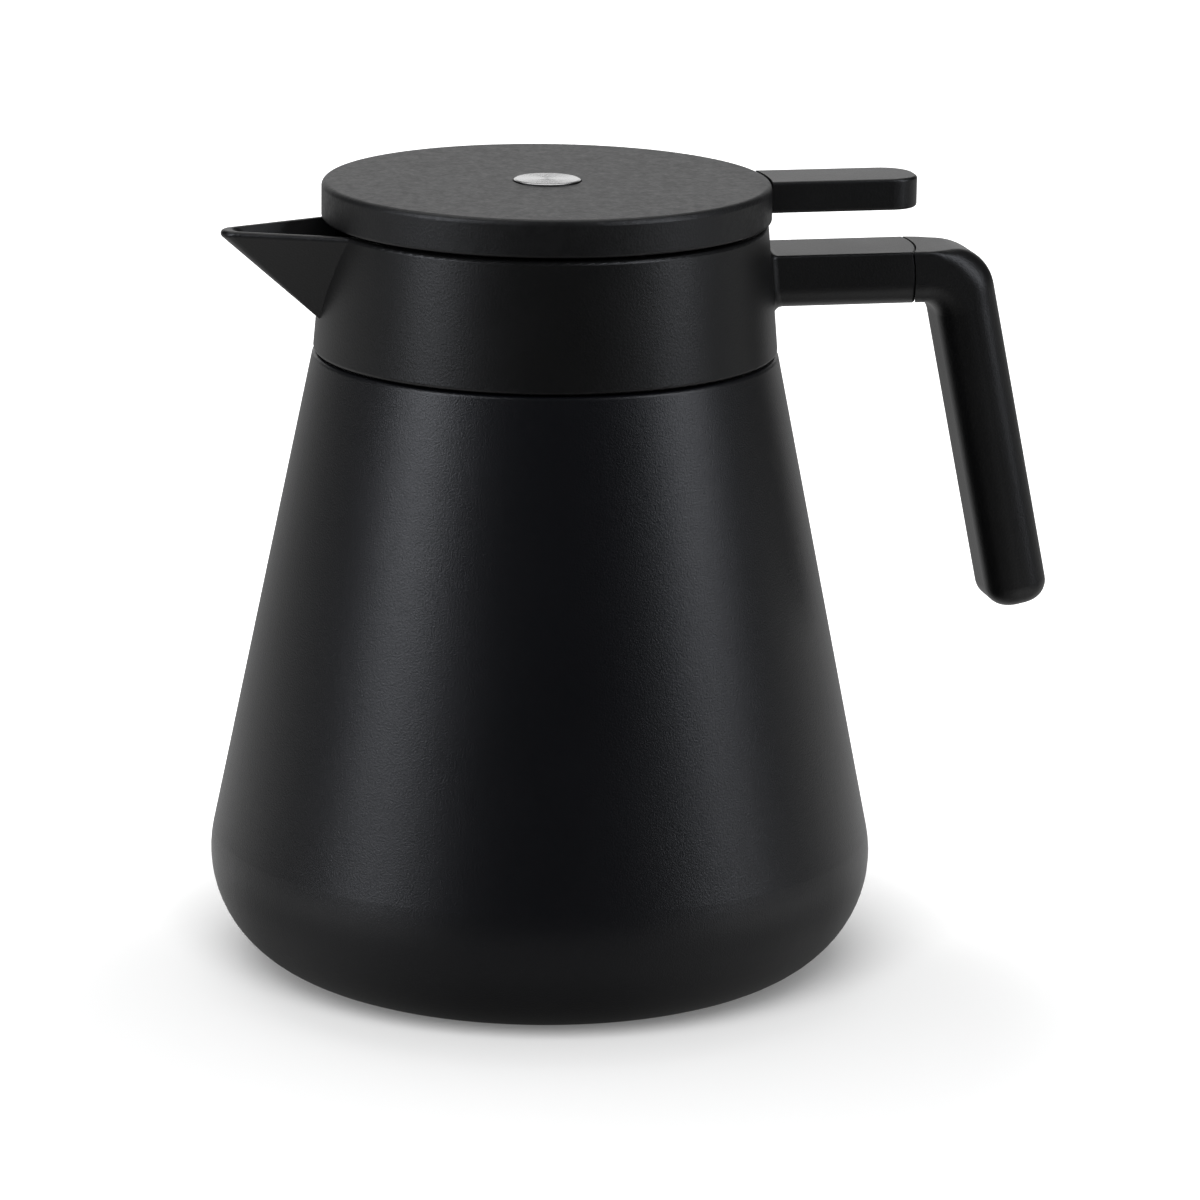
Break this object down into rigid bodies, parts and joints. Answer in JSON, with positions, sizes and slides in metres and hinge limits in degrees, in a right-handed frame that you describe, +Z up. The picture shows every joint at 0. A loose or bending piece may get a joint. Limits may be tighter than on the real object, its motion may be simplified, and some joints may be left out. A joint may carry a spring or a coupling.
{
  "type": "serving jug",
  "caption": "Conical vacuum serving jug with a round hinged lid opened by a thumb lever, a pointed open spout and a side handle; the lid and its stopper pull out.",
  "frame": {"origin": "centre of the foot, on the surface that the jug stands on, on the axis of the body", "axes": "+Z up along the body's axis, +X towards the handle, so the spout points to -X"},
  "size_m": [0.2198, 0.1718, 0.2075],
  "materials": {
    "painted_steel": "matte black paint",
    "stainless": "brushed",
    "black_plastic": "fine satin texture",
    "soft_black": "matte",
    "clear_silicone": "matte",
    "brass": "machined",
    "foam": "matte"
  },
  "bodies": {
    "jug": {"outer_shell": "painted_steel", "inner_liner": "stainless", "base_plate": "painted_steel", "vacuum_seal": "stainless", "getter": "stainless", "foot_ring": "soft_black", "collar": "black_plastic", "neck_gasket": "clear_silicone", "handle_grip": "black_plastic", "grip_insert": "brass", "grip_screw": "stainless", "screw_cap": "soft_black"},
    "stopper": {"stopper_ring": "black_plastic", "stopper_gasket": "clear_silicone", "hinge_pin": "stainless", "lid_spring": "stainless"},
    "lid": {"lid_cover": "black_plastic", "lid_button": "stainless", "lid_frame": "black_plastic", "lid_screws": "stainless", "plug_cup": "black_plastic", "plug_foam": "foam", "plug_seal": "clear_silicone"}
  },
  "joints": [
    {"name": "stopper_lift", "type": "slide", "parent": "jug", "child": "stopper", "axis": [0, 0, 1], "range_m": [0, 0.06]},
    {"name": "lid_tilt", "type": "hinge", "parent": "stopper", "child": "lid", "pos_m": [0.0495, 0, 0.184], "axis": [0, 1, 0], "range_deg": [0, 12], "stiffness_Nm_per_rad": 0.1, "springref_deg": -28.65, "deforming": ["lid_spring"]}
  ]
}
